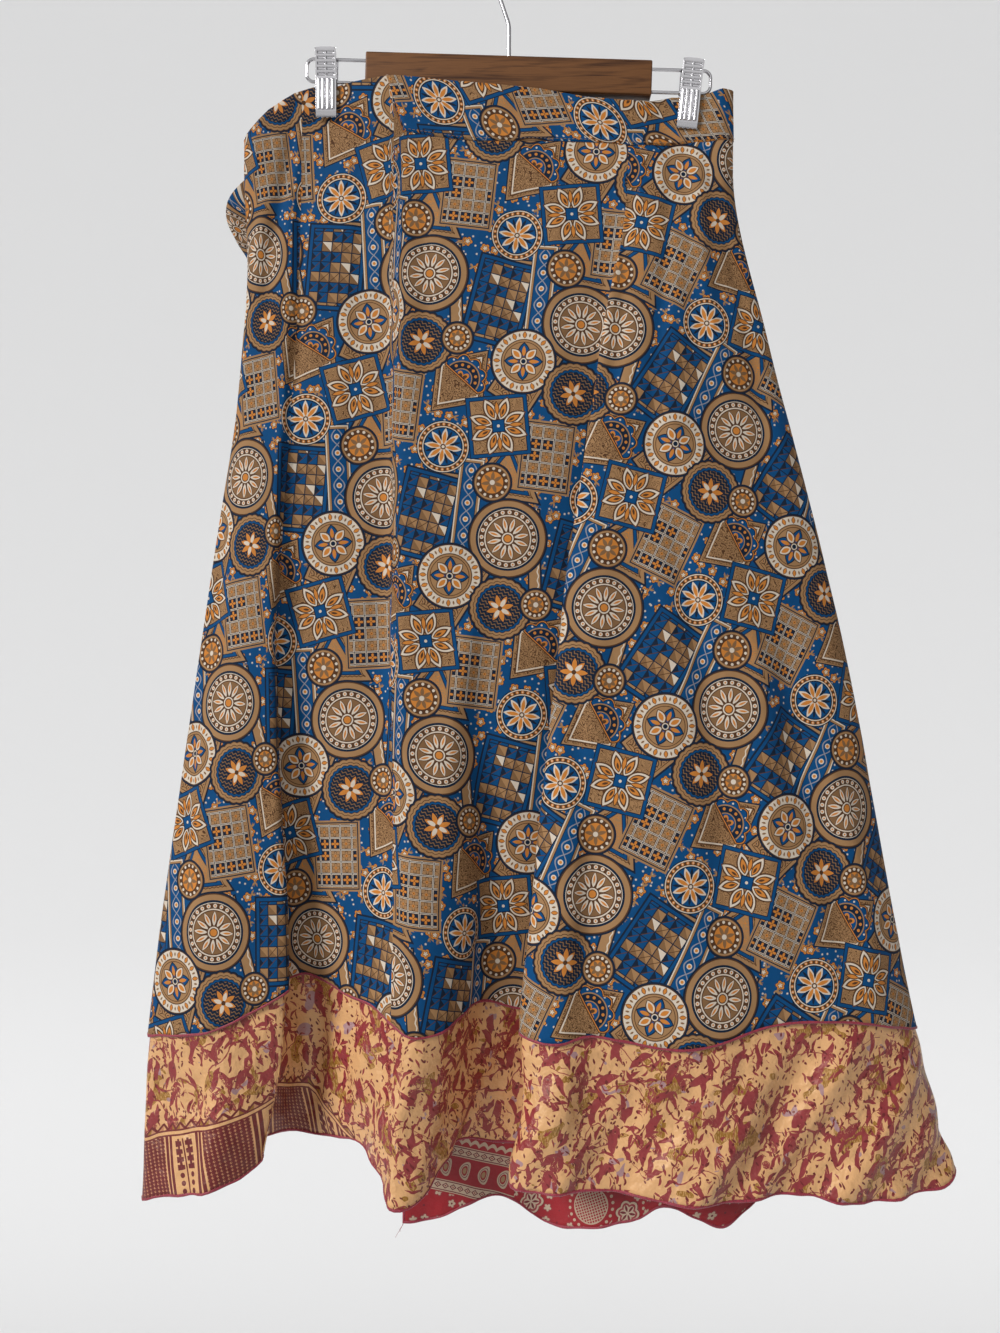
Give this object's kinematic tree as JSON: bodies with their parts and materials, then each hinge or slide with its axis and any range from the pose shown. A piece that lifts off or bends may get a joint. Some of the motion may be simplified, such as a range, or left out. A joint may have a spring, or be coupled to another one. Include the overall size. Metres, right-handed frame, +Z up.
{
  "type": "wrap skirt on clip hanger",
  "caption": "Two-layer wrap skirt with flared flounce hem, patchwork print over gold satin, hung flat by its waistband from a short wooden hanger with clips.",
  "frame": {"origin": "the highest point inside the hanger's hook, where a rail carries it", "axes": "+Z up, the skirt's front faces -Y, +X is to the viewer's right; the skirt hangs along -Z"},
  "size_m": [0.6557, 0.1102, 1.0523],
  "materials": {
    "printed_crepe": "soft printed crepe, blue and tan patchwork print, crimson overlocked hem",
    "gold_satin": "lustrous satin, gold ground with rose foliage and a maroon border",
    "crimson_crepe": "crimson crepe printed with cream bands, paisleys and roundels",
    "walnut": "satin varnished walnut, grain along the bar",
    "chrome": "bright chrome plating"
  },
  "bodies": {
    "root": {"outer_front": "printed_crepe", "outer_back": "printed_crepe", "overlap_outer": "printed_crepe", "waistband_front": "printed_crepe", "waistband_back": "printed_crepe", "waistband_end": "printed_crepe", "tie": "printed_crepe", "under_front": "gold_satin", "under_back": "gold_satin", "overlap_under": "gold_satin", "inner_end": "crimson_crepe", "wood_bar": "walnut", "hook": "chrome", "wire_left": "chrome", "wire_right": "chrome", "clip_left_front": "chrome", "clip_left_back": "chrome", "clip_left_spring": "chrome", "clip_right_front": "chrome", "clip_right_back": "chrome", "clip_right_spring": "chrome"}
  },
  "joints": []
}
